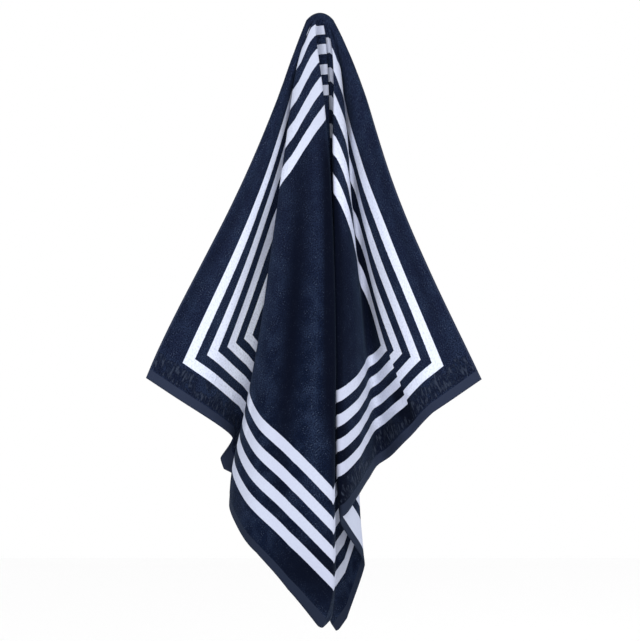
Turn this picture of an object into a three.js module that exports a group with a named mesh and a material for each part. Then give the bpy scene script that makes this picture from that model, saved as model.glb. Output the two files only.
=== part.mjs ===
import * as THREE from 'three';

// A beach towel hung up by the middle of one long side, in the folds that it hangs in.
// Millimetres, +Z up. The origin is the hang point, on top of the hump. The front looks along -Y.

// The towel laid flat, with u along its long side and v down from the hang point.
const LONG_SIDE = 1700;
const SHORT_SIDE = 900;
const BEHIND = 37;
const HALF_LONG = LONG_SIDE / 2;
const IN_FRONT = SHORT_SIDE - BEHIND;
const CORNER_RADIUS = 14;

// The cloth's thickness: pressed thin in the hump, full further down.
const FULL_THICKNESS = 3;
const HUMP_THICKNESS = 1;
const FULL_FROM = 400;

// The hump, where the cloth is gathered and bends over to the back.
const BEND_RADIUS = 12;
const HUMP_HALF_WIDTH = 16;
const HUMP_SAG = 9;
const GATHER_LENGTH = 30;

// A fold bows most at a third of its length and bellies most at two thirds.
// It curls sideways and leans back over its last part only.
const BOW_SCALE = 6.75;
const CURL_LENGTH = 110;
const LEAN_LENGTH = 260;

// How finely the cloth is faceted.
const PANEL_SHARES = [0, 0.1, 0.5, 0.9];
const CELLS_DOWN = 18;
const CELLS_BEHIND = 3;
const DOWN_POWER = 1.3;
const ARC_STEPS = 16;
const SIDE_SMOOTHING = 2;

const NAVY = 0x1b2745;

// The folds from left to right. Each is a line down the cloth, from the hump to the hem.
// edge is where it meets the hem, measured around the towel from the left corner;
// x and y are the plan place of its lower end; uTop, xTop, yTop and drop place its upper end;
// bow, belly and curl push it to the right, and lean pushes its end back;
// sweep is how far its path on the flat towel bows towards the upper edge;
// soft is how round the cloth turns there. Where it is 1 the stripes run on without a bend.
const FOLD_COLUMNS = [
  'name', 'edge', 'x', 'y', 'uTop', 'xTop', 'yTop', 'drop',
  'bow', 'belly', 'curl', 'lean', 'sweep', 'soft',
];
const FOLD_ROWS = [
  ['left corner', 0, -337, -10, -142, -38, -8, 53, 20, 0, 0, 0, 14, 1],
  ['left flare', 100, -258, 0, -100, -34, -8, 30, 6, 0, 0, 0, 14, 1],
  ['left roll', 250, -172, 84, -60, -30, -5, 19, 0, 0, 0, 0, -2, 0.7],
  ['left hem curl', 322, -140, 104, -50, -25, 3, 24, 0, 0, -58, 0, 0, 0.6],
  ['left lobe', 352, -130, 112, -48, -23, 6, 32, 0, 0, -62, 0, 0, 0.8],
  ['left valley', 412, -106, 120, -46, -17, 9, 40, 0, 0, -20, 0, 0, 0.6],
  ['left bulge', 500, -192, 25, -48, -27, -1, 33, 0, 16, 15, 0, 6, 0.6],
  ['centre left edge', 561, -182, -15, -49, -36, -13, 26, 0, 12, 17, 0, 6, 0.7],
  ['centre swell', 650, -138, -60, -30, -32, -17, 10, 4, 0, 16, 0, 14, 1],
  ['centre face', 780, -62, -72, -8, -27, -18, -18, 14, 0, 0, 30, 14, 1],
  ['front tip', 900, 26, -66, 12, -23, -19, -24, 26, 0, -24, 60, -2, 0.9],
  ['centre right edge', 945, 28, -50, 20, -20, -17, -25, 25, 4, -6, 60, -2, 0.9],
  ['pleat 1', 1140, -100, 34, 8, -18, -7, -20, 0, 0, 0, 0, 0, 0.7],
  ['pleat 2', 1335, 14, 18, 6, -12, -7, -16, 0, 0, 0, 0, 0, 0.6],
  ['pleat 3', 1550, -82, 82, 5, -10, 1, -14, 0, 0, 0, 0, 0, 0.6],
  ['pleat 4', 1750, 38, 28, 6, 11, -4, -14, 0, 0, 0, 0, 0, 0.6],
  ['pleat 5', 1950, -92, 158, 8, -3, 8, -14, 0, 0, 0, 0, 0, 0.6],
  ['pleat 6', 2150, 18, 79, 10, 5, 5, -12, 0, 0, 0, 0, 0, 0.5],
  ['pleat 7', 2360, -66, 230, 12, -2, 19, -2, 0, 0, 0, 0, 0, 0.6],
  ['back tip', 2600, 32, 120, 18, 15, 4, 17, -3, 0, 0, 0, -12, 0.6],
  ['back facet', 2642, 53, 98, 22, 21, -3, 15, -4, 0, 0, 0, -12, 0.6],
  ['flap', 2790, 84, 64, 34, 27, -4, 12, 0, 0, 4, 0, -2, 0.6],
  ['right roll', 2956, 36, -31, 50, 29, -14, 16, -4, 0, 6, 0, 12, 0.6],
  ['right ridge', 3038, 76, 15, 62, 34, -13, 34, 2, 3, -4, 0, 14, 0.8],
  ['right turn', 3100, 94, 66, 64, 40, -8, 38, -2, 6, 0, 0, 16, 1],
  ['right valley', 3168, 124, 118, 66, 32, 7, 42, 0, 0, 0, 0, 18, 0.7],
  ['right slope', 3283, 172, 55, 82, 33, 1, 44, 0, -4, 0, 0, 20, 1],
  ['right flare', 3390, 219, 5, 106, 40, -9, 38, -8, 5, 0, 0, 18, 1],
  ['right corner', 3500, 313, -10, 148, 44, -12, 49, -11, -12, 0, 0, 18, 1],
];

function readFolds() {
  return FOLD_ROWS.map((row) => {
    const pairs = FOLD_COLUMNS.map((column, place) => [column, row[place]]);
    return Object.fromEntries(pairs);
  });
}

function flatHemPoint(edge) {
  if (edge < SHORT_SIDE) {
    return new THREE.Vector2(-HALF_LONG, edge - BEHIND);
  }
  if (edge < SHORT_SIDE + LONG_SIDE) {
    return new THREE.Vector2(edge - SHORT_SIDE - HALF_LONG, IN_FRONT);
  }
  return new THREE.Vector2(HALF_LONG, IN_FRONT - (edge - SHORT_SIDE - LONG_SIDE));
}

// How much is left off the end of a line that runs into one of the two rounded lower corners.
function cornerCut(edge) {
  const fromCorner = Math.min(Math.abs(edge - SHORT_SIDE), Math.abs(edge - SHORT_SIDE - LONG_SIDE));
  if (fromCorner >= CORNER_RADIUS) {
    return 0;
  }
  const reach = 2 * CORNER_RADIUS - fromCorner;
  return (reach - Math.sqrt(reach ** 2 - 2 * (CORNER_RADIUS - fromCorner) ** 2)) / Math.SQRT2;
}

// One fold line: the places in space, and v on the flat towel, at each share of its length.
function foldLine(fold, across, shares) {
  const flatHem = flatHemPoint(fold.edge);
  const length = flatHem.distanceTo(new THREE.Vector2(fold.uTop, 0));
  const top = new THREE.Vector3(fold.xTop, fold.yTop, -fold.drop - BEND_RADIUS);
  const run = new THREE.Vector3(fold.x - fold.xTop, fold.y - fold.yTop, 0);
  run.z = -Math.sqrt(length ** 2 - run.lengthSq());
  const sag = HUMP_SAG * across ** 2;
  const crest = new THREE.Vector3(HUMP_HALF_WIDTH * across, -BEND_RADIUS, -BEND_RADIUS - sag);
  const gather = crest.sub(top);
  return shares.map((share) => {
    const down = share * length;
    const gathered = Math.exp(-down / GATHER_LENGTH);
    const point = top.clone().addScaledVector(run, share).addScaledVector(gather, gathered);
    const curled = Math.max(0, 1 - (length - down) / CURL_LENGTH);
    const leaned = Math.max(0, 1 - (length - down) / LEAN_LENGTH);
    const early = BOW_SCALE * share * (1 - share) ** 2;
    const late = BOW_SCALE * share ** 2 * (1 - share);
    point.x += fold.bow * early + fold.belly * late + fold.curl * curled ** 2;
    point.y += fold.lean * leaned ** 2;
    point.z += 2 * fold.lean ** 2 / (3 * LEAN_LENGTH) * leaned ** 3;
    return { point, v: flatHem.y * share - fold.sweep * early };
  });
}

function planStep(from, to) {
  return new THREE.Vector2(to.x - from.x, to.y - from.y);
}

// The way that the cloth runs in plan as it passes a fold, halfway between its two panels.
function planDirection(lines, line, row) {
  const here = lines[line][row].point;
  const direction = new THREE.Vector2();
  if (line > 0) {
    direction.add(planStep(lines[line - 1][row].point, here).normalize());
  }
  if (line < lines.length - 1) {
    direction.add(planStep(here, lines[line + 1][row].point).normalize());
  }
  return direction.normalize();
}

// How fast the lines' heights change along the towel's edge, at both ends of each panel.
function panelRises(folds, lines, row) {
  const height = (line) => lines[line][row].point.z;
  const rise = (from, to) => (height(to) - height(from)) / (folds[to].edge - folds[from].edge);
  const isEven = (line) => line > 0 && line < folds.length - 1 && folds[line].soft === 1;
  return folds.slice(0, -1).map((fold, line) => {
    const span = folds[line + 1].edge - fold.edge;
    const startRise = isEven(line) ? rise(line - 1, line + 1) : rise(line, line + 1);
    const endRise = isEven(line + 1) ? rise(line, line + 2) : rise(line, line + 1);
    return { start: startRise * span, end: endRise * span };
  });
}

function smoothHeight(start, end, rises, share) {
  const blend = share * share * (3 - 2 * share);
  return THREE.MathUtils.lerp(start, end, blend)
    + rises.start * share * (1 - share) ** 2
    + rises.end * share * share * (share - 1);
}

function smoothCurve(start, end, startPull, endPull, t) {
  const blend = t * t * (3 - 2 * t);
  return new THREE.Vector2(start.x, start.y)
    .multiplyScalar(1 - blend)
    .add(new THREE.Vector2(end.x, end.y).multiplyScalar(blend))
    .addScaledVector(startPull, t * (1 - t) ** 2)
    .addScaledVector(endPull, t * t * (t - 1));
}

// Places along one panel's curve in plan, with z between its two folds.
function panelPoints(start, end, startPull, endPull, rises) {
  const samples = [];
  for (let step = 0; step <= ARC_STEPS; step += 1) {
    samples.push(smoothCurve(start.point, end.point, startPull, endPull, step / ARC_STEPS));
  }
  const lengths = [0];
  for (let step = 1; step <= ARC_STEPS; step += 1) {
    lengths.push(lengths[step - 1] + samples[step].distanceTo(samples[step - 1]));
  }
  return PANEL_SHARES.map((share) => {
    const target = share * lengths[ARC_STEPS];
    let step = 0;
    while (step < ARC_STEPS - 1 && lengths[step + 1] < target) {
      step += 1;
    }
    const part = (target - lengths[step]) / Math.max(lengths[step + 1] - lengths[step], 1e-9);
    const plan = smoothCurve(start.point, end.point, startPull, endPull, (step + part) / ARC_STEPS);
    const height = smoothHeight(start.point.z, end.point.z, rises, share);
    return {
      point: new THREE.Vector3(plan.x, plan.y, height),
      v: THREE.MathUtils.lerp(start.v, end.v, share),
    };
  });
}

// Pulls the last place of a line back along it.
function shortenLine(line, cut) {
  const end = line[line.length - 1];
  const before = line[line.length - 2];
  const share = cut / end.point.distanceTo(before.point);
  end.point.lerp(before.point, share);
  end.v = THREE.MathUtils.lerp(end.v, before.v, share);
}

// The whole front of the cloth as a grid: lines from left to right, rows from hump to hem.
function frontGrid(folds) {
  const shares = Array.from({ length: CELLS_DOWN + 1 }, (_, row) => (row / CELLS_DOWN) ** DOWN_POWER);
  const last = folds.length - 1;
  const lines = folds.map((fold, line) => foldLine(fold, 2 * line / last - 1, shares));
  const cells = PANEL_SHARES.length;
  const grid = Array.from({ length: last * cells + 1 }, () => []);
  for (let row = 0; row < shares.length; row += 1) {
    const rises = panelRises(folds, lines, row);
    for (let line = 0; line < last; line += 1) {
      const start = lines[line][row];
      const end = lines[line + 1][row];
      const reach = planStep(start.point, end.point).length();
      const startPull = planDirection(lines, line, row).multiplyScalar(reach * folds[line].soft);
      const endPull = planDirection(lines, line + 1, row).multiplyScalar(reach * folds[line + 1].soft);
      panelPoints(start, end, startPull, endPull, rises[line]).forEach((place, cell) => {
        grid[line * cells + cell].push(place);
      });
    }
    grid[last * cells].push(lines[last][row]);
  }
  for (let line = 0; line < last; line += 1) {
    PANEL_SHARES.forEach((share, cell) => {
      const edge = THREE.MathUtils.lerp(folds[line].edge, folds[line + 1].edge, share);
      shortenLine(grid[line * cells + cell], cornerCut(edge));
    });
  }
  return grid;
}

// The upper edge of the front: up the left side, over the hump and down the right side.
function upperEdge(grid) {
  const left = grid[0].slice().reverse();
  const crest = grid.slice(1, -1).map((line) => line[0]);
  return [...left, ...crest, ...grid[grid.length - 1]];
}

// Square to the upper edge, away from the cloth, in the plane of the hang.
function outwardDirections(edge) {
  const raw = edge.map((place, at) => {
    const before = edge[Math.max(at - 1, 0)].point;
    const after = edge[Math.min(at + 1, edge.length - 1)].point;
    return new THREE.Vector3(before.z - after.z, 0, after.x - before.x).normalize();
  });
  return raw.map((_, at) => {
    const sum = new THREE.Vector3();
    for (let near = at - SIDE_SMOOTHING; near <= at + SIDE_SMOOTHING; near += 1) {
      sum.add(raw[THREE.MathUtils.clamp(near, 0, raw.length - 1)]);
    }
    return sum.normalize();
  });
}

// The cloth that goes on past the upper edge, bent back in an arc.
function behindPoints(edge) {
  const outward = outwardDirections(edge);
  return edge.map((place, at) => {
    const width = place.v + BEHIND;
    const points = [];
    for (let cell = 1; cell <= CELLS_BEHIND; cell += 1) {
      const angle = width * cell / CELLS_BEHIND / BEND_RADIUS;
      const point = place.point.clone().addScaledVector(outward[at], BEND_RADIUS * Math.sin(angle));
      point.y += BEND_RADIUS * (1 - Math.cos(angle));
      points.push(point);
    }
    return points;
  });
}

// The middle surface of the cloth: its points, and triangles that face the front.
function middleSurface() {
  const grid = frontGrid(readFolds());
  const points = [];
  const triangles = [];
  const addPoint = (point) => points.push(point) - 1;
  const addCell = (a, b, c, d) => {
    triangles.push([a, b, d], [b, c, d]);
  };
  grid.forEach((line) => line.forEach((place) => {
    place.index = addPoint(place.point);
  }));
  for (let line = 0; line + 1 < grid.length; line += 1) {
    for (let row = 0; row + 1 < grid[line].length; row += 1) {
      const right = grid[line + 1];
      addCell(grid[line][row].index, grid[line][row + 1].index, right[row + 1].index, right[row].index);
    }
  }
  const edge = upperEdge(grid);
  const strips = behindPoints(edge).map((column, at) => {
    const isCorner = at === 0 || at === edge.length - 1;
    const indices = column.map((point) => (isCorner ? edge[at].index : addPoint(point)));
    return [edge[at].index, ...indices];
  });
  for (let at = 0; at + 1 < strips.length; at += 1) {
    for (let cell = 0; cell < CELLS_BEHIND; cell += 1) {
      addCell(strips[at][cell + 1], strips[at][cell], strips[at + 1][cell], strips[at + 1][cell + 1]);
    }
  }
  const whole = triangles.filter(([a, b, c]) => a !== b && b !== c && c !== a);
  return { points, triangles: whole };
}

function pointNormals({ points, triangles }) {
  const normals = points.map(() => new THREE.Vector3());
  for (const corners of triangles) {
    const [a, b, c] = corners.map((index) => points[index]);
    const facing = b.clone().sub(a).cross(c.clone().sub(a));
    corners.forEach((index) => normals[index].add(facing));
  }
  return normals.map((normal) => normal.normalize());
}

// The edges that only one triangle uses, each in that triangle's own direction.
function openEdges(triangles) {
  const found = new Map();
  for (const [a, b, c] of triangles) {
    for (const [from, to] of [[a, b], [b, c], [c, a]]) {
      if (!found.delete(`${to} ${from}`)) {
        found.set(`${from} ${to}`, [from, to]);
      }
    }
  }
  return [...found.values()];
}

function thicknessAt(point) {
  const share = THREE.MathUtils.clamp(-point.z / FULL_FROM, 0, 1);
  return THREE.MathUtils.lerp(HUMP_THICKNESS, FULL_THICKNESS, share);
}

// The solid cloth: a front and a back layer either side of the middle, joined at the edges.
function towelGeometry() {
  const surface = middleSurface();
  const normals = pointNormals(surface);
  const count = surface.points.length;
  const layer = (side) => surface.points.map((point, index) => {
    const offset = side * thicknessAt(point) / 2;
    return point.clone().addScaledVector(normals[index], offset);
  });
  const positions = [...layer(1), ...layer(-1)].flatMap((point) => point.toArray());
  const indices = [];
  for (const [a, b, c] of surface.triangles) {
    indices.push(a, b, c, a + count, c + count, b + count);
  }
  for (const [from, to] of openEdges(surface.triangles)) {
    indices.push(to, from, from + count, to, from + count, to + count);
  }
  const geometry = new THREE.BufferGeometry();
  geometry.setAttribute('position', new THREE.Float32BufferAttribute(positions, 3));
  geometry.setIndex(indices);
  geometry.computeVertexNormals();
  return geometry;
}

const towelMaterial = new THREE.MeshStandardMaterial({ color: NAVY, roughness: 0.95, metalness: 0 });
const towel = new THREE.Mesh(towelGeometry(), towelMaterial);
towel.name = 'towel';

const group = new THREE.Group();
group.add(towel);

export default group;
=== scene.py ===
import math

import bpy
import numpy as np
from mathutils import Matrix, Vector, noise


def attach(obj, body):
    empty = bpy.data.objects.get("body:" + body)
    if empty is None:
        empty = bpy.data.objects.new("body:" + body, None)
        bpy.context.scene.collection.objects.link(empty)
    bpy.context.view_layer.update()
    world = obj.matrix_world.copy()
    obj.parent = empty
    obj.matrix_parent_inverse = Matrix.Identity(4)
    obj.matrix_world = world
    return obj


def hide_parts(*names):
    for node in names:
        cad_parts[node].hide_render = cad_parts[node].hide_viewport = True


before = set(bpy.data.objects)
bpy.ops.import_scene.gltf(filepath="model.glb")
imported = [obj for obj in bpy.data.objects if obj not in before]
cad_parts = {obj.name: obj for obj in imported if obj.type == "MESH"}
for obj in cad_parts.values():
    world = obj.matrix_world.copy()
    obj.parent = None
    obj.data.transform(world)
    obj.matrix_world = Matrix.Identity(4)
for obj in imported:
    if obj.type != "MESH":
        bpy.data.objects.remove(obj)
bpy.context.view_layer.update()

# The towel laid flat, in metres, with u along its long side and v down from the hang point.
# BEHIND is the strip of it that goes on over the hump.
LONG_SIDE = 1.7
SHORT_SIDE = 0.9
BEHIND = 0.037
HALF_LONG = LONG_SIDE / 2
IN_FRONT = SHORT_SIDE - BEHIND
CORNER_RADIUS = 0.014

# The hump, where the cloth is gathered and bends over to the back: its radius, its half width,
# the cloth gathered in that, how far its ends sag, and how soon the folds leave it.
BEND_RADIUS = 0.012
HUMP_HALF_WIDTH = 0.016
HUMP_HALF_CLOTH = 0.062
HUMP_SAG = 0.009
GATHER_LENGTH = 0.03

# BOW_SCALE makes the greatest bow and belly of a fold as large as its row in the table says.
# The other two are how much of a fold's end curls and leans.
BOW_SCALE = 6.75
CURL_LENGTH = 0.11
LEAN_LENGTH = 0.26

# The cloth's thickness: the pile, the flat hem at the short ends, and the pressed hump. It is
# full from FULL_FROM below the hang point, and creases and ripples are from SETTLED_FROM.
PILE_THICKNESS = 0.0028
HEM_THICKNESS = 0.0017
HUMP_THICKNESS = 0.001
FULL_FROM = 0.4
SETTLED_FROM = 0.15
HEM_WIDTH = 0.019
HEM_STEP = 0.003

# The frame stripes: distance of the first from each side, their width, their spacing, how many
# there are, and how soft and how uneven their edges are.
STRIPE_FROM_END = 0.065
STRIPE_FROM_SIDE = 0.057
STRIPE_WIDTH = 0.02
STRIPE_PITCH = 0.0403
STRIPE_COUNT = 4
STRIPE_SOFTNESS = 0.0006
STRIPE_WOBBLE = 0.0014

# The ribs along the flat hems, the hems' soft edges, and the thin selvages of the long sides.
RIB_PITCH = 0.0022
HEM_SOFTNESS = 0.0005
SELVAGE_WIDTH = 0.004
SELVAGE_SOFTNESS = 0.001

# How finely the mesh is made: rows down the front and over the hump, how much closer together
# the rows are near the hump, steps that measure a panel's curve, lines to each side that smooth
# the outward direction, and how much closer together the lines are near a fold. NO_LENGTH
# stands in for a length of zero where something is divided by it.
ROWS_DOWN = 170
ROWS_BEHIND = 6
DOWN_POWER = 1.25
ARC_STEPS = 24
SIDE_SMOOTHING = 4
FOLD_CLUSTER = 0.08
NO_LENGTH = 1e-9

# The folds from left to right, as in the solid. edge is where a fold meets the towel's edge,
# from the upper left corner down the left side, along the bottom and up the right side, and
# x and y are where it hangs there. u_top, x_top, y_top and drop are where it leaves the hump.
# bow and belly bend it sideways, high up and low down. curl and lean turn its end sideways and
# to the back, and sweep lifts its line on the flat towel. soft is 1 for a round fold and less
# for a sharper one. cells is how finely the panel to the right of a fold is divided.
FOLD_COLUMNS = (
    "name", "edge", "x", "y", "u_top", "x_top", "y_top", "drop",
    "bow", "belly", "curl", "lean", "sweep", "soft", "cells",
)
FOLD_ROWS = (
    ("left corner", 0, -0.337, -0.01, -0.142, -0.038, -0.008, 0.053, 0.02, 0, 0, 0, 0.014, 1, 14),
    ("left flare", 0.1, -0.258, 0, -0.1, -0.034, -0.008, 0.03, 0.006, 0, 0, 0, 0.014, 1, 17),
    ("left roll", 0.25, -0.172, 0.084, -0.06, -0.03, -0.005, 0.019, 0, 0, 0, 0, -0.002, 0.7, 8),
    ("left hem curl", 0.322, -0.14, 0.104, -0.05, -0.025, 0.003, 0.024, 0, 0, -0.058, 0, 0, 0.6, 5),
    ("left lobe", 0.352, -0.13, 0.112, -0.048, -0.023, 0.006, 0.032, 0, 0, -0.062, 0, 0, 0.8, 6),
    ("left valley", 0.412, -0.106, 0.12, -0.046, -0.017, 0.009, 0.04, 0, 0, -0.02, 0, 0, 0.6, 6),
    ("left bulge", 0.5, -0.192, 0.025, -0.048, -0.027, -0.001, 0.033, 0, 0.016, 0.015, 0, 0.006, 0.6, 7),
    (
        "centre left edge", 0.561, -0.182, -0.015, -0.049, -0.036, -0.013, 0.026,
        0, 0.012, 0.017, 0, 0.006, 0.7, 13,
    ),
    ("centre swell", 0.65, -0.138, -0.06, -0.03, -0.032, -0.017, 0.01, 0.004, 0, 0.016, 0, 0.014, 1, 16),
    ("centre face", 0.78, -0.062, -0.072, -0.008, -0.027, -0.018, -0.018, 0.014, 0, 0, 0.03, 0.014, 1, 12),
    ("front tip", 0.9, 0.026, -0.066, 0.012, -0.023, -0.019, -0.024, 0.026, 0, -0.024, 0.06, -0.002, 0.9, 8),
    (
        "centre right edge", 0.945, 0.028, -0.05, 0.02, -0.02, -0.017, -0.025,
        0.025, 0.004, -0.006, 0.06, -0.002, 0.9, 7,
    ),
    ("pleat 1", 1.14, -0.1, 0.034, 0.008, -0.018, -0.007, -0.02, 0, 0, 0, 0, 0, 0.7, 6),
    ("pleat 2", 1.335, 0.014, 0.018, 0.006, -0.012, -0.007, -0.016, 0, 0, 0, 0, 0, 0.6, 6),
    ("pleat 3", 1.55, -0.082, 0.082, 0.005, -0.01, 0.001, -0.014, 0, 0, 0, 0, 0, 0.6, 6),
    ("pleat 4", 1.75, 0.038, 0.028, 0.006, 0.011, -0.004, -0.014, 0, 0, 0, 0, 0, 0.6, 6),
    ("pleat 5", 1.95, -0.092, 0.158, 0.008, -0.003, 0.008, -0.014, 0, 0, 0, 0, 0, 0.6, 6),
    ("pleat 6", 2.15, 0.018, 0.079, 0.01, 0.005, 0.005, -0.012, 0, 0, 0, 0, 0, 0.5, 6),
    ("pleat 7", 2.36, -0.066, 0.23, 0.012, -0.002, 0.019, -0.002, 0, 0, 0, 0, 0, 0.6, 6),
    ("back tip", 2.6, 0.032, 0.12, 0.018, 0.015, 0.004, 0.017, -0.003, 0, 0, 0, -0.012, 0.6, 7),
    ("back facet", 2.642, 0.053, 0.098, 0.022, 0.021, -0.003, 0.015, -0.004, 0, 0, 0, -0.012, 0.6, 7),
    ("flap", 2.79, 0.084, 0.064, 0.034, 0.027, -0.004, 0.012, 0, 0, 0.004, 0, -0.002, 0.6, 9),
    ("right roll", 2.956, 0.036, -0.031, 0.05, 0.029, -0.014, 0.016, -0.004, 0, 0.006, 0, 0.012, 0.6, 11),
    (
        "right ridge", 3.038, 0.076, 0.015, 0.062, 0.034, -0.013, 0.034,
        0.002, 0.003, -0.004, 0, 0.014, 0.8, 7,
    ),
    ("right turn", 3.1, 0.094, 0.066, 0.064, 0.04, -0.008, 0.038, -0.002, 0.006, 0, 0, 0.016, 1, 6),
    ("right valley", 3.168, 0.124, 0.118, 0.066, 0.032, 0.007, 0.042, 0, 0, 0, 0, 0.018, 0.7, 11),
    ("right slope", 3.283, 0.172, 0.055, 0.082, 0.033, 0.001, 0.044, 0, -0.004, 0, 0, 0.02, 1, 13),
    ("right flare", 3.39, 0.219, 0.005, 0.106, 0.04, -0.009, 0.038, -0.008, 0.005, 0, 0, 0.018, 1, 14),
    ("right corner", 3.5, 0.313, -0.01, 0.148, 0.044, -0.012, 0.049, -0.011, -0.012, 0, 0, 0.018, 1, 0),
)

# Smaller creases, each along a line from one place on the flat towel to another: its half
# width, and its height towards the front (a trough is below zero). The last column paints light
# and shade along the crease: above zero the cloth is painted paler, below zero it is painted
# darker as shade. A row whose height is zero is painted light and shade only, with no crease.
CREASE_COLUMNS = ("u_start", "v_start", "u_end", "v_end", "half_width", "height", "painted_shading")
CREASE_ROWS = (
    (-0.180, 0.120, -0.790, 0.650, 0.026, -0.0040, -1.0),
    (-0.150, 0.150, -0.760, 0.710, 0.014, 0.0030, 0.5),
    (-0.162, 0.184, -0.672, 0.698, 0.015, -0.0006, -1.3),
    (-0.130, 0.134, -0.600, 0.593, 0.013, 0.0000, -1.2),
    (-0.350, 0.190, -0.800, 0.510, 0.018, 0.0010, 0.6),
    (-0.700, 0.860, -0.850, 0.660, 0.070, 0.0010, -1.0),
    (-0.350, -0.010, -0.790, -0.030, 0.012, -0.0015, -0.4),
    (-0.450, 0.035, -0.810, 0.090, 0.028, 0.0020, 0.5),
    (-0.430, 0.140, -0.820, 0.160, 0.045, 0.0000, 1.1),
    (0.300, -0.020, 0.800, 0.000, 0.012, -0.0015, -0.4),
    (0.450, 0.050, 0.820, 0.068, 0.020, 0.0015, 0.3),
    (0.716, 0.172, 0.850, 0.138, 0.022, -0.0035, -1.3),
    (0.280, 0.070, 0.660, 0.200, 0.030, -0.0020, -1.1),
    (0.300, 0.135, 0.680, 0.360, 0.036, 0.0000, -0.7),
    (0.180, 0.073, 0.850, 0.507, 0.013, 0.0000, -1.3),
    (0.670, 0.390, 0.880, 0.520, 0.040, 0.0000, -0.9),
    (0.220, 0.090, 0.410, 0.190, 0.012, 0.0015, 0.4),
    (0.800, 0.350, 0.800, 0.120, 0.030, 0.0000, -0.6),
)

# Slow ripples all over, and short crinkles where the pile meets the end hems: how many there
# are in a metre, the slice of the noise that each takes, their height, and how far from the
# towel's ends the crinkles are highest, how far they spread, and where they stop.
RIPPLES = 9
RIPPLE_SLICE = 0.3
RIPPLE_HEIGHT = 0.0012
CRINKLES_ALONG_U = 25
CRINKLES_ALONG_V = 90
CRINKLE_SLICE = 1.7
CRINKLE_HEIGHT = 0.0009
CRINKLE_FROM_END = 0.024
CRINKLE_SPREAD = 0.02
CRINKLES_STOP = 0.07

# The tuck across the right panel, where the weave has slipped towards the end hem: from where
# to where it is, how far the weave slipped, and how it fades beside the flat hem.
TUCK_V = 0.14
TUCK_END_V = 0.26
TUCK_SLIP = 0.008
TUCK_EDGE = 0.001
TUCK_FROM_U = 0.62
TUCK_FADE = 0.02
TUCK_FADES_FROM_END = 0.045
TUCK_ENDS_FROM_END = 0.03

# Both colours are paler down to the first of these, and plain from the second.
PALE_TO_V = 0.20
PLAIN_FROM_V = 0.45

# The white stays plain nearer to the towel's middle than the first of these, and is fully
# paler only beyond the second. This paleness is painted light on the upper side panels.
PLAIN_TO_U = 0.16
PALE_FROM_U = 0.30

# The pile is crinkled beside the end hems down to this, and further down towards the right.
# Its streaks are stretched along u. They start beside the hem and fade at the end of their reach.
CRINKLED_TO_V = 0.44
CRINKLED_FADE = 0.04
CRINKLE_TILT = 0.13
STREAK_STRETCH = (0.3, 1.0, 1.0)
STREAK_START = 0.004
STREAK_FADE = 0.015

# The noises of the material, each with its scale and its detail.
NOISES = {
    "stripe edges": (260, 2.0),
    "streaks": (210, 2.0),
    "streak reach": (38, 1.0),
    "fine pile": (700, 3.0),
    "coarse pile": (160, 2.0),
    "clouds": (28, 3.0),
    "tufts": (420, 2.0),
    "speck patches": (60, 2.0),
    "white flecks": (260, 3.0),
}

# How a noise or the creases' painted light and shade sets the share of a colour: as it goes
# from the first number to the second, the share goes from the third to the fourth. A streak's
# reach is set the same way, in metres from the towel's end.
SHARES = {
    "streak reach": (0.35, 0.65, 0.022, 0.075),
    "clouds": (0.44, 0.62, 0.0, 0.5),
    "painted light": (0.0, 1.0, 0.0, 1.0),
    "painted shade": (0.0, -1.0, 0.0, 1.0),
    "deep tufts": (0.56, 0.36, 0.0, 0.9),
    "specks in tufts": (0.61, 0.69, 0.0, 1.0),
    "specks by painted shading": (-1.0, 0.3, 0.15, 0.8),
    "specks in patches": (0.44, 0.62, 0.12, 1.0),
    "deep streaks": (0.30, 0.42, 0.0, 0.5),
    "light streaks": (0.49, 0.66, 0.0, 0.28),
    "white in painted shade": (0.0, -2.0, 0.0, 1.0),
    "white in painted light": (0.4, 1.0, 0.0, 1.0),
    "white flecks": (0.45, 0.9, 0.0, 1.0),
}

# The relief of the pile, of its crinkles and of the hems' ribs, beside the fine pile's 1.
COARSE_PILE_RELIEF = 0.6
STREAK_RELIEF = 1.6
RIB_RELIEF = 0.15
BUMP_STRENGTH = 0.6
BUMP_DISTANCE = 0.0012

# The cloth's finish: matt, with a faint blue sheen.
CLOTH_FINISH = {
    "Roughness": 0.95,
    "Specular IOR Level": 0.06,
    "Sheen Weight": 0.04,
    "Sheen Roughness": 0.4,
    "Sheen Tint": (0.4, 0.65, 1.0, 1.0),
}

# The colours, as linear red, green and blue. The light navy serves random clouds and painted
# light, the deep navy the deep pile and painted shade, the pale white painted light on the
# upper side panels, the deep white flecks and painted shade, and the open white painted light.
NAVY = (0.0022, 0.0058, 0.0195)
NAVY_PALE = (0.0080, 0.0132, 0.0350)
NAVY_CLOUDS_AND_PAINTED_LIGHT = (0.0150, 0.0255, 0.0570)
NAVY_DEEP_PILE_AND_SHADE = (0.0006, 0.0017, 0.0070)
NAVY_SPECK = (0.0700, 0.0890, 0.1320)
WHITE = (0.415, 0.450, 0.560)
WHITE_SIDE_PAINTED_LIGHT = (0.590, 0.635, 0.780)
WHITE_FLECKS_AND_SHADE = (0.370, 0.390, 0.510)
WHITE_PAINTED_LIGHT = (0.800, 0.860, 1.000)
HEM_BLUE = (0.0185, 0.0250, 0.0480)
HEM_DEEP = (0.0120, 0.0170, 0.0330)


def table(columns, rows):
    return [dict(zip(columns, row)) for row in rows]


def flat_hem_point(edge):
    """The place on the flat towel that is this far along its edge."""
    if edge < SHORT_SIDE:
        return np.array((-HALF_LONG, edge - BEHIND))
    if edge < SHORT_SIDE + LONG_SIDE:
        return np.array((edge - SHORT_SIDE - HALF_LONG, IN_FRONT))
    return np.array((HALF_LONG, IN_FRONT - (edge - SHORT_SIDE - LONG_SIDE)))


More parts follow.
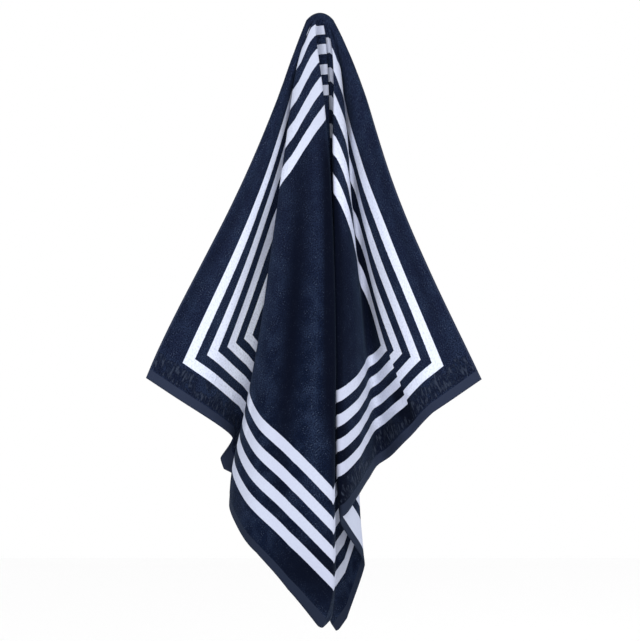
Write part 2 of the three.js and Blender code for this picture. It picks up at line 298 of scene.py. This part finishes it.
def fold_line(fold, across, shares):
    """The places in space and on the flat towel at each share of one fold's length.

    A fold that leans to the back also rises a little, so that it keeps its length.
    """
    hem = flat_hem_point(fold["edge"])
    start = np.array((fold["u_top"], 0.0))
    length = np.linalg.norm(hem - start)
    top = np.array((fold["x_top"], fold["y_top"], -fold["drop"] - BEND_RADIUS))
    run = np.array((fold["x"] - fold["x_top"], fold["y"] - fold["y_top"], 0.0))
    run[2] = -math.sqrt(length ** 2 - run @ run)
    sag = HUMP_SAG * across ** 2
    crest = np.array((HUMP_HALF_WIDTH * across, -BEND_RADIUS, -BEND_RADIUS - sag))
    crest_flat = np.array((HUMP_HALF_CLOTH * across, 0.0))
    share = shares[:, None]
    down = share * length
    gathered = np.exp(-down / GATHER_LENGTH)
    points = top + run * share + (crest - top) * gathered
    flats = start + (hem - start) * share + (crest_flat - start) * gathered
    curled = np.clip(1 - (length - down) / CURL_LENGTH, 0, 1)
    leaned = np.clip(1 - (length - down) / LEAN_LENGTH, 0, 1)
    early = BOW_SCALE * share * (1 - share) ** 2
    late = BOW_SCALE * share ** 2 * (1 - share)
    flats[:, 1:] -= fold["sweep"] * early
    points[:, :1] += fold["bow"] * early + fold["belly"] * late + fold["curl"] * curled ** 2
    points[:, 1:2] += fold["lean"] * leaned ** 2
    points[:, 2:] += 2 * fold["lean"] ** 2 / (3 * LEAN_LENGTH) * leaned ** 3
    return points, flats


def unit(vectors):
    return vectors / np.maximum(np.linalg.norm(vectors, axis=-1, keepdims=True), NO_LENGTH)


def plan_directions(lines):
    """The way that the cloth runs in plan as it passes each fold, for every row."""
    steps = unit(np.diff(lines[:, :, :2], axis=0))
    ways = np.concatenate((steps[:1], steps[:-1] + steps[1:], steps[-1:]))
    return unit(ways)


def panel_pulls(folds, lines):
    """How each panel's curve in plan leaves its first fold, and how it meets its second."""
    ways = plan_directions(lines)
    reach = np.linalg.norm(np.diff(lines[:, :, :2], axis=0), axis=2, keepdims=True)
    soft = np.array([fold["soft"] for fold in folds])[:, None, None]
    return np.stack((ways[:-1] * reach * soft[:-1], ways[1:] * reach * soft[1:]))


def panel_rises(folds, lines):
    """How much each panel's height changes, by its slope at its start and at its end."""
    edges = np.array([fold["edge"] for fold in folds])
    heights = lines[:, :, 2]
    spans = np.diff(edges)[:, None]
    starts = np.diff(heights, axis=0)
    ends = starts.copy()
    for at in range(1, len(folds) - 1):
        if folds[at]["soft"] == 1:
            rise = (heights[at + 1] - heights[at - 1]) / (edges[at + 1] - edges[at - 1])
            starts[at] = rise * spans[at]
            ends[at - 1] = rise * spans[at - 1]
    return np.stack((starts, ends))[..., None]


def smooth_curve(start, end, start_pull, end_pull, t):
    """The place at t, from 0 to 1, on a curve with given ends and ways at its ends."""
    blend = t * t * (3 - 2 * t)
    bend = start_pull * t * (1 - t) ** 2 + end_pull * t * t * (t - 1)
    return start * (1 - blend) + end * blend + bend


def panel_shares(cells):
    """How far across a panel each of its lines is, closer together near its two folds."""
    even = np.arange(cells) / cells
    return even - FOLD_CLUSTER * np.sin(2 * math.pi * even)


def corner_cut(edge):
    """How much is left off the end of a line that runs into a rounded lower corner."""
    from_corner = min(abs(edge - SHORT_SIDE), abs(edge - SHORT_SIDE - LONG_SIDE))
    if from_corner >= CORNER_RADIUS:
        return 0
    reach = 2 * CORNER_RADIUS - from_corner
    return (reach - math.sqrt(reach ** 2 - 2 * (CORNER_RADIUS - from_corner) ** 2)) / math.sqrt(2)


def shortened(values, shares, kept):
    """A line's values spread over only the kept share of its length."""
    return np.stack([np.interp(shares * kept, shares, column) for column in values.T], axis=1)


def panel_plan(start, end, start_pull, end_pull, cells):
    """Places in plan along the curve of the panel between two folds, for every row."""
    t = np.linspace(0, 1, ARC_STEPS + 1)[None, :, None]
    curve = smooth_curve(start[:, None], end[:, None], start_pull[:, None], end_pull[:, None], t)
    lengths = np.linalg.norm(np.diff(curve, axis=1), axis=2).cumsum(axis=1)
    lengths = np.concatenate((np.zeros((len(start), 1)), lengths), axis=1)
    places = np.array([
        np.interp(panel_shares(cells) * reach[-1], reach, t[0, :, 0]) for reach in lengths
    ])
    return [
        smooth_curve(start, end, start_pull, end_pull, places[:, cell, None])
        for cell in range(cells)
    ]


def panel_lines(folds, lines, flat_lines, pulls, rises, shares):
    """The lines of the panel between two folds, with the first fold and without the second."""
    (start, end), (flat_start, flat_end) = lines, flat_lines
    cells = folds[0]["cells"]
    plans = panel_plan(start[:, :2], end[:, :2], *pulls, cells)
    made = []
    for share, plan in zip(panel_shares(cells), plans):
        height = smooth_curve(start[:, 2:], end[:, 2:], *rises, share)
        flats = flat_start * (1 - share) + flat_end * share
        edge = folds[0]["edge"] * (1 - share) + folds[1]["edge"] * share
        kept = 1 - corner_cut(edge) / np.linalg.norm(flats[-1])
        line = shortened(np.hstack((plan, height)), shares, kept)
        made.append((line, shortened(flats, shares, kept)))
    return made


def front_grid():
    """Lines from left to right, each a row of places from the hump to the hem."""
    folds = table(FOLD_COLUMNS, FOLD_ROWS)
    shares = (np.arange(ROWS_DOWN + 1) / ROWS_DOWN) ** DOWN_POWER
    across = np.linspace(-1, 1, len(folds))
    hung = [fold_line(fold, side, shares) for fold, side in zip(folds, across)]
    lines, flat_lines = (np.array(places) for places in zip(*hung))
    pulls = panel_pulls(folds, lines)
    rises = panel_rises(folds, lines)
    made = []
    for at in range(len(folds) - 1):
        pair = slice(at, at + 2)
        made += panel_lines(
            folds[pair], lines[pair], flat_lines[pair], pulls[:, at], rises[:, at], shares
        )
    made.append((lines[-1], flat_lines[-1]))
    return tuple(np.array(places) for places in zip(*made))


def upper_edge(grid):
    """Along the front's upper edge: up the left side, over the hump, down the right side."""
    return np.concatenate((grid[0][::-1], grid[1:-1, 0], grid[-1]))


def outward_directions(edge):
    """Square to the upper edge, away from the cloth, in the plane of the hang."""
    along = np.gradient(edge, axis=0)
    raw = unit(np.stack((-along[:, 2], np.zeros(len(edge)), along[:, 0]), axis=1))
    padded = np.pad(raw, ((SIDE_SMOOTHING, SIDE_SMOOTHING), (0, 0)), mode="edge")
    spread = 2 * SIDE_SMOOTHING + 1
    return unit(sum(padded[shift:shift + len(raw)] for shift in range(spread)))


def rows_over_hump(grid, flat_grid, index):
    """The rows behind the upper edge: their points, their flat places and their numbers."""
    edge = upper_edge(grid)
    edge_flat = upper_edge(flat_grid)
    outward = outward_directions(edge)
    points, flats = [], []
    strips = [upper_edge(index[:, :, None])[:, 0]]
    count = index.size
    for row in range(1, ROWS_BEHIND + 1):
        width = (edge_flat[:, 1] + BEHIND) * row / ROWS_BEHIND
        angle = (width / BEND_RADIUS)[:, None]
        moved = edge + outward * BEND_RADIUS * np.sin(angle)
        moved[:, 1:2] += BEND_RADIUS * (1 - np.cos(angle))
        points.append(moved[1:-1])
        flats.append(np.stack((edge_flat[:, 0], edge_flat[:, 1] - width), axis=1)[1:-1])
        inner = np.arange(count, count + len(edge) - 2)
        strips.append(np.concatenate((strips[0][:1], inner, strips[0][-1:])))
        count += len(inner)
    return points, flats, strips


def middle_surface():
    """The cloth's middle: points, their flat places, and four-cornered faces to the front."""
    grid, flat_grid = front_grid()
    lines, rows = grid.shape[:2]
    index = np.arange(lines * rows).reshape(lines, rows)
    cells = (index[:-1, :-1], index[:-1, 1:], index[1:, 1:], index[1:, :-1])
    faces = [np.stack(cells, axis=-1).reshape(-1, 4)]
    points, flats, strips = rows_over_hump(grid, flat_grid, index)
    for below, above in zip(strips, strips[1:]):
        faces.append(np.stack((above[:-1], below[:-1], below[1:], above[1:]), axis=1))
    points = np.concatenate([grid.reshape(-1, 3)] + points)
    flats = np.concatenate([flat_grid.reshape(-1, 2)] + flats)
    return points, flats, np.concatenate(faces)


def point_normals(points, faces):
    """Each point's outward direction, from the faces that meet there."""
    corners = points[faces]
    facing = np.cross(corners[:, 2] - corners[:, 0], corners[:, 3] - corners[:, 1])
    normals = np.zeros_like(points)
    for corner in range(faces.shape[1]):
        np.add.at(normals, faces[:, corner], facing)
    return unit(normals)


def crease_sum(flats, column):
    """The height, or the painted light and shade, that the smaller creases give each flat place."""
    total = np.zeros(len(flats))
    for crease in table(CREASE_COLUMNS, CREASE_ROWS):
        start = np.array((crease["u_start"], crease["v_start"]))
        run = np.array((crease["u_end"], crease["v_end"])) - start
        share = np.clip((flats - start) @ run / (run @ run), 0, 1)
        beside = np.linalg.norm(flats - start - share[:, None] * run, axis=1)
        fade = np.sqrt(np.sin(np.pi * share))
        total += crease[column] * fade * np.exp(-(beside / crease["half_width"]) ** 2)
    return total


def ripple_heights(flats):
    """Slow unevenness all over, and short crinkles where the pile meets the end hems."""
    end_gap = HALF_LONG - np.abs(flats[:, 0])
    heights = np.zeros(len(flats))
    for at, (u, v) in enumerate(flats):
        slow = noise.noise(Vector((u * RIPPLES, v * RIPPLES, RIPPLE_SLICE)))
        heights[at] = RIPPLE_HEIGHT * slow
        if end_gap[at] < CRINKLES_STOP:
            place = Vector((u * CRINKLES_ALONG_U, v * CRINKLES_ALONG_V, CRINKLE_SLICE))
            near = math.exp(-((end_gap[at] - CRINKLE_FROM_END) / CRINKLE_SPREAD) ** 2)
            heights[at] += CRINKLE_HEIGHT * noise.noise(place) * near
    return heights


def open_edges(faces):
    """The edges that only one face uses, each in that face's own direction.

    A face with three corners has one of them twice, and the empty edge between is passed over.
    """
    found = {}
    for face in faces.tolist():
        for start, end in zip(face, face[1:] + face[:1]):
            if start == end:
                continue
            if found.pop((end, start), None) is None:
                found[(start, end)] = True
    return list(found)


def half_thickness(points, flats):
    """Half the cloth's thickness at each point."""
    end_gap = HALF_LONG - np.abs(flats[:, 0])
    pile = np.clip((end_gap - HEM_WIDTH) / HEM_STEP, 0, 1)
    full = HEM_THICKNESS + (PILE_THICKNESS - HEM_THICKNESS) * pile
    share = np.clip(-points[:, 2] / FULL_FROM, 0, 1)
    return (HUMP_THICKNESS + (full - HUMP_THICKNESS) * share) / 2


def closed_cloth(points, flats, faces):
    """The two layers either side of the middle, joined round the edges."""
    normals = point_normals(points, faces)
    settled = np.clip(-points[:, 2] / SETTLED_FROM, 0, 1)
    lift = (crease_sum(flats, "height") + ripple_heights(flats)) * settled
    middle = points + normals * lift[:, None]
    normals = point_normals(middle, faces)
    half = half_thickness(points, flats)[:, None]
    count = len(points)
    front = [list(dict.fromkeys(face)) for face in faces.tolist()]
    back = [[corner + count for corner in reversed(face)] for face in front]
    rim = [[end, start, start + count, end + count] for start, end in open_edges(faces)]
    all_points = np.concatenate((middle + normals * half, middle - normals * half))
    return all_points, np.concatenate((flats, flats)), front, back, rim


# The mesh's first material is for the front and the rim, and its second for the back.
FRONT_SLOT = 0
REVERSE_SLOT = 1


def towel_mesh():
    """The closed cloth, with each point's place on the flat towel and the painted light and shade of the
    creases there.
    """
    points, flats, front, back, rim = closed_cloth(*middle_surface())
    mesh = bpy.data.meshes.new("towel_cloth")
    mesh.from_pydata(points.tolist(), [], front + back + rim)
    flat_place = mesh.attributes.new("flat_place", "FLOAT_VECTOR", "POINT")
    flat_values = np.hstack((flats, np.zeros((len(flats), 1))))
    flat_place.data.foreach_set("vector", flat_values.ravel())
    # The creases' painted light and shade, kept on each point for the material.
    painted_shading = mesh.attributes.new("painted_shading", "FLOAT", "POINT")
    painted_shading.data.foreach_set("value", np.clip(crease_sum(flats, "painted_shading"), -1, 1))
    slots = [FRONT_SLOT] * len(front) + [REVERSE_SLOT] * len(back) + [FRONT_SLOT] * len(rim)
    mesh.polygons.foreach_set("material_index", slots)
    mesh.polygons.foreach_set("use_smooth", [True] * len(slots))
    mesh.update()
    return mesh


# Where a colour mix takes its two colours, and where its result is.
MIX_FIRST = 6
MIX_SECOND = 7
MIX_RESULT = 2


class Nodes:
    """Short calls for adding nodes to one material."""

    def __init__(self, name):
        self.material = bpy.data.materials.new(name)
        self.material.use_nodes = True
        self.tree = self.material.node_tree
        self.shader = self.tree.nodes["Principled BSDF"]

    def add(self, kind, **settings):
        node = self.tree.nodes.new(kind)
        for name, value in settings.items():
            setattr(node, name, value)
        return node

    def link(self, value, socket):
        if isinstance(value, bpy.types.NodeSocket):
            self.tree.links.new(value, socket)
        else:
            socket.default_value = value

    def math(self, operation, first, second=0.0, third=0.0):
        node = self.add("ShaderNodeMath", operation=operation)
        for value, socket in zip((first, second, third), node.inputs):
            self.link(value, socket)
        return node.outputs[0]

    def product(self, first, *others):
        for other in others:
            first = self.math("MULTIPLY", first, other)
        return first

    def scaled(self, vector, scale):
        node = self.add("ShaderNodeVectorMath", operation="MULTIPLY")
        self.link(vector, node.inputs[0])
        node.inputs[1].default_value = scale
        return node.outputs[0]

    def ramp(self, value, low, high, low_to=0.0, high_to=1.0):
        """From low_to to high_to as the value goes from low to high, and level beyond them."""
        node = self.add("ShaderNodeMapRange")
        settings = (value, low, high, low_to, high_to)
        for setting, socket in zip(settings, node.inputs):
            self.link(setting, socket)
        return node.outputs[0]

    def noise(self, vector, scale, detail):
        node = self.add("ShaderNodeTexNoise")
        self.link(vector, node.inputs["Vector"])
        node.inputs["Scale"].default_value = scale
        node.inputs["Detail"].default_value = detail
        return node.outputs["Fac"]

    def mix(self, share, first, second):
        node = self.add("ShaderNodeMix", data_type="RGBA")
        self.link(share, node.inputs[0])
        for colour, socket in ((first, MIX_FIRST), (second, MIX_SECOND)):
            value = colour if isinstance(colour, bpy.types.NodeSocket) else (*colour, 1)
            self.link(value, node.inputs[socket])
        return node.outputs[MIX_RESULT]


class Weave:
    """The woven pattern and its tones, with the painted light and shade of the creases, all placed on the
    flat towel.
    """

    def __init__(self, nodes):
        self.nodes = nodes
        self.place = nodes.add("ShaderNodeAttribute", attribute_name="flat_place").outputs["Vector"]
        split = nodes.add("ShaderNodeSeparateXYZ")
        nodes.link(self.place, split.inputs[0])
        self.u, self.v = split.outputs[0], split.outputs[1]
        # Painted light and shade from the creases: above zero paler, below zero darker.
        self.painted_shading = nodes.add("ShaderNodeAttribute", attribute_name="painted_shading").outputs["Fac"]
        slipped = nodes.math("ADD", self.u, self.tuck_slip())
        self.end_gap = nodes.math("SUBTRACT", HALF_LONG, nodes.math("ABSOLUTE", slipped))
        upper_gap = nodes.math("ADD", self.v, BEHIND)
        lower_gap = nodes.math("SUBTRACT", IN_FRONT, self.v)
        self.side_gap = nodes.math("MINIMUM", upper_gap, lower_gap)

    def noise(self, name):
        return self.nodes.noise(self.place, *NOISES[name])

    def share(self, name, value):
        return self.nodes.ramp(value, *SHARES[name])

    def tuck_slip(self):
        """How far the weave has slipped along u, in metres."""
        ramp = self.nodes.ramp
        below = ramp(self.v, TUCK_V - TUCK_EDGE, TUCK_V)
        slip = ramp(self.v, TUCK_V, TUCK_END_V, -TUCK_SLIP, 0.0)
        right = ramp(self.u, TUCK_FROM_U, TUCK_FROM_U + TUCK_FADE)
        fades_at = HALF_LONG - TUCK_FADES_FROM_END
        off_hem = ramp(self.u, fades_at, HALF_LONG - TUCK_ENDS_FROM_END, 1.0, 0.0)
        return self.nodes.product(below, slip, right, off_hem)

    def paleness(self):
        """1 on the upper part of the towel, fading to 0 further down."""
        return self.nodes.ramp(self.v, PALE_TO_V, PLAIN_FROM_V, 1.0, 0.0)

    def stripes(self):
        """1 inside the frame stripes and 0 outside, with slightly uneven woven edges."""
        nodes = self.nodes
        wobble = nodes.math(
            "MULTIPLY_ADD", self.noise("stripe edges"), STRIPE_WOBBLE, -STRIPE_WOBBLE / 2
        )
        depth = nodes.math(
            "MINIMUM",
            nodes.math("SUBTRACT", self.end_gap, STRIPE_FROM_END),
            nodes.math("SUBTRACT", self.side_gap, STRIPE_FROM_SIDE),
        )
        depth = nodes.math("ADD", depth, wobble)
        phase = nodes.math("WRAP", depth, STRIPE_PITCH, 0.0)
        rise = nodes.ramp(phase, 0.0, STRIPE_SOFTNESS)
        fall = nodes.ramp(phase, STRIPE_WIDTH, STRIPE_WIDTH + STRIPE_SOFTNESS, 1.0, 0.0)
        last = STRIPE_PITCH * (STRIPE_COUNT - 1) + STRIPE_WIDTH + 2 * STRIPE_SOFTNESS
        begins = nodes.math("GREATER_THAN", depth, 0.0)
        ends = nodes.math("LESS_THAN", depth, last)
        return nodes.product(rise, fall, begins, ends)

    def hems(self):
        """1 on the flat hems and the thin selvages, and 0 on the pile."""
        ramp = self.nodes.ramp
        hem = ramp(self.end_gap, HEM_WIDTH - HEM_SOFTNESS, HEM_WIDTH + HEM_SOFTNESS, 1.0, 0.0)
        selvage = ramp(self.side_gap, SELVAGE_WIDTH - SELVAGE_SOFTNESS, SELVAGE_WIDTH, 1.0, 0.0)
        return self.nodes.math("MAXIMUM", hem, selvage)

    def streaks(self):
        """The short crinkles that run up from the end hems into the pile, from 0 to 1."""
        nodes = self.nodes
        along = nodes.noise(nodes.scaled(self.place, STREAK_STRETCH), *NOISES["streaks"])
        starts = nodes.ramp(self.end_gap, HEM_WIDTH, HEM_WIDTH + STREAK_START)
        reach = self.share("streak reach", self.noise("streak reach"))
        beyond = nodes.math("SUBTRACT", self.end_gap, reach)
        fades = nodes.ramp(beyond, 0.0, STREAK_FADE, 1.0, 0.0)
        down = nodes.math("MULTIPLY_ADD", self.u, -CRINKLE_TILT, self.v)
        full_to = CRINKLED_TO_V - CRINKLED_FADE
        crinkled = nodes.ramp(down, full_to, CRINKLED_TO_V + CRINKLED_FADE, 1.0, 0.0)
        return nodes.product(along, starts, fades, crinkled)

    def height(self, streaks):
        """The height of the pile's tufts and crinkles, and of the ribs on the flat hems."""
        nodes = self.nodes
        fine, coarse = self.noise("fine pile"), self.noise("coarse pile")
        pile = nodes.math("MULTIPLY_ADD", coarse, COARSE_PILE_RELIEF, fine)
        pile = nodes.math("MULTIPLY_ADD", streaks, STREAK_RELIEF, pile)
        ribs = nodes.math("SINE", nodes.math("MULTIPLY", self.u, 2 * math.pi / RIB_PITCH))
        ribs = nodes.math("MULTIPLY", ribs, RIB_RELIEF)
        hems = self.hems()
        on_hems = nodes.math("MULTIPLY", ribs, hems)
        return nodes.math("MULTIPLY_ADD", pile, nodes.math("SUBTRACT", 1.0, hems), on_hems)

    def navy(self, streaks):
        """The dark ground: cloudy, lighter along the top, with specks and crinkles, and with painted light
        and painted shade along the creases.
        """
        nodes = self.nodes
        clouds = self.share("clouds", self.noise("clouds"))
        # Random clouds, and painted light where the creases' painted shading is above zero.
        light = nodes.math("ADD", clouds, self.share("painted light", self.painted_shading))
        ground = nodes.mix(self.paleness(), NAVY, NAVY_PALE)
        tone = nodes.mix(light, ground, NAVY_CLOUDS_AND_PAINTED_LIGHT)
        # Painted shade where the creases' painted shading is below zero.
        tone = nodes.mix(self.share("painted shade", self.painted_shading), tone, NAVY_DEEP_PILE_AND_SHADE)
        tufts = self.noise("tufts")
        tone = nodes.mix(self.share("deep tufts", tufts), tone, NAVY_DEEP_PILE_AND_SHADE)
        tone = nodes.mix(self.specks(tufts), tone, NAVY_SPECK)
        tone = nodes.mix(self.share("deep streaks", streaks), tone, NAVY_DEEP_PILE_AND_SHADE)
        return nodes.mix(self.share("light streaks", streaks), tone, NAVY_SPECK)

    def specks(self, tufts):
        """1 on the light points of the pile, which come in patches, more where the creases paint light and
        fewer where they paint shade.
        """
        points = self.share("specks in tufts", tufts)
        by_painted_shading = self.share("specks by painted shading", self.painted_shading)
        patches = self.share("specks in patches", self.noise("speck patches"))
        return self.nodes.product(points, by_painted_shading, patches)

    def white(self):
        """The light stripes: painted lighter high up at both sides and where the creases paint light,
        painted darker where they paint shade, with flecks.
        """
        nodes = self.nodes
        sideways = nodes.ramp(nodes.math("ABSOLUTE", self.u), PLAIN_TO_U, PALE_FROM_U)
        # Painted light: the stripes high up on the side panels are made paler.
        tone = nodes.mix(nodes.product(self.paleness(), sideways), WHITE, WHITE_SIDE_PAINTED_LIGHT)
        # Painted shade and painted light along the creases.
        tone = nodes.mix(self.share("white in painted shade", self.painted_shading), tone, WHITE_FLECKS_AND_SHADE)
        tone = nodes.mix(self.share("white in painted light", self.painted_shading), tone, WHITE_PAINTED_LIGHT)
        return nodes.mix(self.share("white flecks", self.noise("white flecks")), tone, WHITE_FLECKS_AND_SHADE)

    def hem_colour(self):
        """The flat hems and selvages: lighter high up."""
        return self.nodes.mix(self.paleness(), HEM_DEEP, HEM_BLUE)


def towel_material(material_name, reverse):
    """The velour front, or the looped reverse where the two colours change places."""
    nodes = Nodes(material_name)
    weave = Weave(nodes)
    stripes = weave.stripes()
    if reverse:
        stripes = nodes.math("SUBTRACT", 1.0, stripes)
    streaks = weave.streaks()
    colour = nodes.mix(stripes, weave.navy(streaks), weave.white())
    colour = nodes.mix(weave.hems(), colour, weave.hem_colour())
    nodes.link(colour, nodes.shader.inputs["Base Color"])
    bump = nodes.add("ShaderNodeBump")
    bump.inputs["Strength"].default_value = BUMP_STRENGTH
    bump.inputs["Distance"].default_value = BUMP_DISTANCE
    nodes.link(weave.height(streaks), bump.inputs["Height"])
    nodes.link(bump.outputs[0], nodes.shader.inputs["Normal"])
    for name, value in CLOTH_FINISH.items():
        nodes.shader.inputs[name].default_value = value
    return nodes.material


def add_object(name, mesh, *materials):
    made = bpy.data.objects.new(name, mesh)
    bpy.context.scene.collection.objects.link(made)
    for material in materials:
        mesh.materials.append(material)
    return made


def build_towel():
    front = towel_material("towel_front", False)
    back = towel_material("towel_reverse", True)
    towel = add_object("towel_folded", towel_mesh(), front, back)
    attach(towel, "root")
    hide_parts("towel")


def plain_material(name, colour, roughness):
    nodes = Nodes(name)
    nodes.shader.inputs["Base Color"].default_value = (*colour, 1)
    nodes.shader.inputs["Roughness"].default_value = roughness
    return nodes.material


def plane_mesh(name, corners):
    mesh = bpy.data.meshes.new(name)
    mesh.from_pydata(corners, [], [(0, 1, 2, 3)])
    return mesh


# The studio: a pale floor below the towel, three lights that face the towel's middle, and
# white light from all round.
FLOOR_Z = -1.75
FLOOR_COLOUR = (0.96, 0.96, 0.96)
FLOOR_ROUGHNESS = 0.9
ROOM = 6.0
LIT_PLACE = (0, 0, -0.6)
LIGHT_COLUMNS = ("name", "place", "size", "watts")
LIGHT_ROWS = (
    ("key", (-1.9, -2.5, 0.9), 1.4, 16),
    ("fill", (2.0, -2.6, 0.2), 1.8, 16),
    ("front", (0.6, -3.4, 0.1), 1.6, 56),
)
WORLD_COLOUR = (1, 1, 1, 1)
WORLD_STRENGTH = 1.0


def build_studio():
    pale = plain_material("studio_white", FLOOR_COLOUR, FLOOR_ROUGHNESS)
    corners = ((-ROOM, -ROOM), (ROOM, -ROOM), (ROOM, ROOM), (-ROOM, ROOM))
    floor = plane_mesh("floor", [(x, y, FLOOR_Z) for x, y in corners])
    add_object("floor", floor, pale)


def add_light(name, place, size, watts):
    light = bpy.data.lights.new(name, "AREA")
    light.size = size
    light.energy = watts
    made = bpy.data.objects.new(name, light)
    made.location = place
    towards = Vector(LIT_PLACE) - Vector(place)
    made.rotation_euler = towards.to_track_quat("-Z", "Y").to_euler()
    bpy.context.scene.collection.objects.link(made)


def build_lights():
    for light in table(LIGHT_COLUMNS, LIGHT_ROWS):
        add_light(**light)
    world = bpy.data.worlds.new("studio")
    world.use_nodes = True
    background = world.node_tree.nodes["Background"]
    background.inputs["Color"].default_value = WORLD_COLOUR
    background.inputs["Strength"].default_value = WORLD_STRENGTH
    bpy.context.scene.world = world
    bpy.context.scene.view_settings.view_transform = "Standard"


# The camera stands straight in front, level with the middle of its view. The view's height in
# pixels, a pixel's size at the towel, and the pixel row of the hang point set its place.
CAMERA_DISTANCE = 4.0
PIXEL_SIZE = 0.00194
VIEW_HEIGHT = 641
TOP_PIXEL = 13
SENSOR_WIDTH = 36.0


def build_camera():
    camera = bpy.data.cameras.new("camera")
    camera.sensor_width = SENSOR_WIDTH
    camera.sensor_fit = "AUTO"
    camera.lens = SENSOR_WIDTH * CAMERA_DISTANCE / (VIEW_HEIGHT * PIXEL_SIZE)
    made = bpy.data.objects.new("camera", camera)
    middle_z = -(VIEW_HEIGHT / 2 - TOP_PIXEL) * PIXEL_SIZE
    made.location = (0.0, -CAMERA_DISTANCE, middle_z)
    made.rotation_euler = (math.pi / 2, 0, 0)
    bpy.context.scene.collection.objects.link(made)
    bpy.context.scene.camera = made


build_camera()
build_studio()
build_lights()
build_towel()
